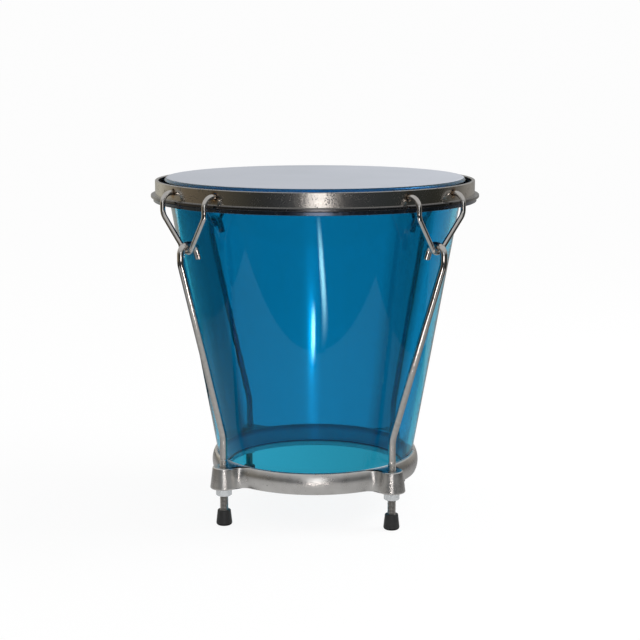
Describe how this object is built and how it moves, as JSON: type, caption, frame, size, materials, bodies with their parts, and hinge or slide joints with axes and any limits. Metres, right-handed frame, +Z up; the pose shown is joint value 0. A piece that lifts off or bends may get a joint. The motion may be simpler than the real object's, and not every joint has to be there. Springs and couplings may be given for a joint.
{
  "type": "hand drum",
  "caption": "Single-headed hand drum with a clear blue conical shell, a film head under a steel rim, claw hooks, slanting tension rods, a cast base ring and rubber feet.",
  "frame": {"origin": "on the floor below the drum's axis, level with the undersides of the rubber feet", "axes": "+Z up along the drum's axis; the lugs of the base ring lie on +X, +Y, -X and -Y"},
  "size_m": [0.253, 0.253, 0.2439],
  "materials": {
    "shell_acrylic": "clear tinted acrylic, polished",
    "head_film": "coated polyester film",
    "hoop_steel": "dark bright-plated steel",
    "rim_chrome": "chromed steel with fine pits",
    "ring_aluminium": "polished casting",
    "wire_nickel": "nickel-plated drawn wire",
    "nut_zinc": "bright zinc plating",
    "foot_rubber": "moulded black rubber"
  },
  "bodies": {
    "drum_body": {"shell": "shell_acrylic", "drum_head": "head_film", "flesh_hoop": "hoop_steel", "rim": "rim_chrome", "base_ring": "ring_aluminium"},
    "claw_1": {"claw_hook_1": "wire_nickel"},
    "claw_2": {"claw_hook_2": "wire_nickel"},
    "claw_3": {"claw_hook_3": "wire_nickel"},
    "claw_4": {"claw_hook_4": "wire_nickel"},
    "rod_1": {"tension_rod_1": "wire_nickel", "rubber_foot_1": "foot_rubber"},
    "rod_2": {"tension_rod_2": "wire_nickel", "rubber_foot_2": "foot_rubber"},
    "rod_3": {"tension_rod_3": "wire_nickel", "rubber_foot_3": "foot_rubber"},
    "rod_4": {"tension_rod_4": "wire_nickel", "rubber_foot_4": "foot_rubber"},
    "nut_1": {"hex_nut_1": "nut_zinc"},
    "nut_2": {"hex_nut_2": "nut_zinc"},
    "nut_3": {"hex_nut_3": "nut_zinc"},
    "nut_4": {"hex_nut_4": "nut_zinc"}
  },
  "joints": [
    {"name": "nut_1_turn", "type": "hinge", "parent": "drum_body", "child": "nut_1", "pos_m": [0.08415, 0, 0.0244], "axis": [0, 0, 1], "range_deg": [-2710, 0]},
    {"name": "nut_2_turn", "type": "hinge", "parent": "drum_body", "child": "nut_2", "pos_m": [0, 0.08415, 0.0244], "axis": [0, 0, 1], "range_deg": [-2710, 0]},
    {"name": "nut_3_turn", "type": "hinge", "parent": "drum_body", "child": "nut_3", "pos_m": [-0.08415, 0, 0.0244], "axis": [0, 0, 1], "range_deg": [-2710, 0]},
    {"name": "nut_4_turn", "type": "hinge", "parent": "drum_body", "child": "nut_4", "pos_m": [0, -0.08415, 0.0244], "axis": [0, 0, 1], "range_deg": [-2710, 0]},
    {"name": "rod_1_slide", "type": "slide", "parent": "drum_body", "child": "rod_1", "axis": [0, 0, 1], "range_m": [0, 0.0075]},
    {"name": "rod_2_slide", "type": "slide", "parent": "drum_body", "child": "rod_2", "axis": [0, 0, 1], "range_m": [0, 0.0075]},
    {"name": "rod_3_slide", "type": "slide", "parent": "drum_body", "child": "rod_3", "axis": [0, 0, 1], "range_m": [0, 0.0075]},
    {"name": "rod_4_slide", "type": "slide", "parent": "drum_body", "child": "rod_4", "axis": [0, 0, 1], "range_m": [0, 0.0075]},
    {"name": "claw_1_swing", "type": "hinge", "parent": "drum_body", "child": "claw_1", "pos_m": [0.11317, 0.00791, 0.2373], "axis": [-0.0698, 0.9976, 0], "range_deg": [-1, 1.5]},
    {"name": "claw_2_swing", "type": "hinge", "parent": "drum_body", "child": "claw_2", "pos_m": [-0.00791, 0.11317, 0.2373], "axis": [-0.9976, -0.0698, 0], "range_deg": [-1, 1.5]},
    {"name": "claw_3_swing", "type": "hinge", "parent": "drum_body", "child": "claw_3", "pos_m": [-0.11317, -0.00791, 0.2373], "axis": [0.0698, -0.9976, 0], "range_deg": [-1, 1.5]},
    {"name": "claw_4_swing", "type": "hinge", "parent": "drum_body", "child": "claw_4", "pos_m": [0.00791, -0.11317, 0.2373], "axis": [0.9976, 0.0698, 0], "range_deg": [-1, 1.5]}
  ],
  "couplings": [
    {"joint": "nut_1_turn", "follows": "rod_1_slide", "rad_per_m": -6283.2},
    {"joint": "nut_2_turn", "follows": "rod_2_slide", "rad_per_m": -6283.2},
    {"joint": "nut_3_turn", "follows": "rod_3_slide", "rad_per_m": -6283.2},
    {"joint": "nut_4_turn", "follows": "rod_4_slide", "rad_per_m": -6283.2}
  ]
}
